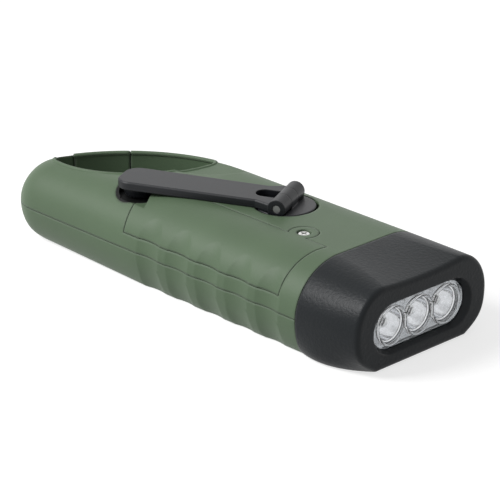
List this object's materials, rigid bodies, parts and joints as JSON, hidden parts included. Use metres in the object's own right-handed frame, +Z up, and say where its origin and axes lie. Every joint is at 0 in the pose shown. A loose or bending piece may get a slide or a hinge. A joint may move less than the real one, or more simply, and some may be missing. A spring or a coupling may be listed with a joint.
{
  "type": "hand crank flashlight",
  "caption": "Pocket flashlight with a carabiner loop, a folding crank that drives a small generator, and a wide window with cup reflectors.",
  "frame": {"origin": "middle of the footprint, on the surface the flashlight lies on", "axes": "+X towards the lamp head, +Z up out of the crank side, +Y completes the right-handed frame"},
  "size_m": [0.1354, 0.0496, 0.0276],
  "materials": {
    "body_green": "fine satin texture",
    "cap_black": "fine grain",
    "crank_black": "satin",
    "inner_black": "matt",
    "steel": "bright",
    "spring_steel": "bright",
    "chrome": "plated",
    "clear": "clear",
    "led_epoxy": "clear dome",
    "board_green": "lacquered",
    "gear_white": "smooth",
    "copper": "enamelled wire",
    "magnet": "sintered",
    "cell_wrap": "sleeve",
    "button_rubber": "soft"
  },
  "bodies": {
    "torch_body": {"upper_shell": "body_green", "lower_shell": "body_green", "side_cover": "body_green", "cover_screw": "steel", "shell_screws": "steel", "head_cap": "cap_black", "reflector": "chrome", "lens": "clear", "leds": "led_epoxy", "led_board": "board_green", "gate_pin": "steel", "gate_spring": "spring_steel", "knob_well": "inner_black", "hub_collar": "inner_black", "button_bezel": "inner_black", "gear_plate": "gear_white", "idler_axle": "steel", "rotor_bridge": "steel", "stator_can": "steel", "stator_coil": "copper", "battery": "cell_wrap", "battery_cradle": "gear_white", "circuit_board": "board_green", "switch_body": "inner_black"},
    "crank": {"crank_disc": "crank_black", "drive_gear": "gear_white", "hinge_pin": "steel"},
    "folding_arm": {"crank_arm": "crank_black", "knob_pin": "steel"},
    "finger_knob": {"knob": "crank_black"},
    "idler": {"idler_gear": "gear_white"},
    "rotor": {"rotor_pinion": "gear_white", "rotor_magnet": "magnet"},
    "loop_gate": {"gate": "body_green"},
    "push_button": {"button": "button_rubber"}
  },
  "joints": [
    {"name": "crank_spin", "type": "hinge", "parent": "torch_body", "child": "crank", "pos_m": [0.01395, 0.0048, 0.0236], "axis": [0, 0, 1], "range_deg": [0, 95]},
    {"name": "arm_fold", "type": "hinge", "parent": "crank", "child": "folding_arm", "pos_m": [0.01395, 0.0048, 0.0251], "axis": [-0.4305, 0.9026, 0], "range_deg": [0, 180]},
    {"name": "knob_spin", "type": "hinge", "parent": "folding_arm", "child": "finger_knob", "pos_m": [-0.02369, -0.01315, 0.0224], "axis": [0, 0, 1], "continuous": true},
    {"name": "idler_spin", "type": "hinge", "parent": "torch_body", "child": "idler", "pos_m": [-0.0046, -0.00017, 0.012], "axis": [0, 0, 1], "range_deg": [-285, 0]},
    {"name": "rotor_spin", "type": "hinge", "parent": "torch_body", "child": "rotor", "pos_m": [0.00506, -0.00827, 0.007], "axis": [0, 0, 1], "range_deg": [0, 912]},
    {"name": "gate_swing", "type": "hinge", "parent": "torch_body", "child": "loop_gate", "pos_m": [-0.06175, -0.00711, 0.01], "axis": [0, 0, 1], "range_deg": [-30, 0], "stiffness_Nm_per_rad": 0.02, "springref_deg": 20.05},
    {"name": "button_press", "type": "slide", "parent": "torch_body", "child": "push_button", "axis": [0, 0, 1], "range_m": [0, 0.0008], "stiffness_N_per_m": 700, "springref_m": -0.0006}
  ],
  "couplings": [
    {"joint": "idler_spin", "follows": "crank_spin", "ratio": -3},
    {"joint": "rotor_spin", "follows": "crank_spin", "ratio": 9.6}
  ]
}
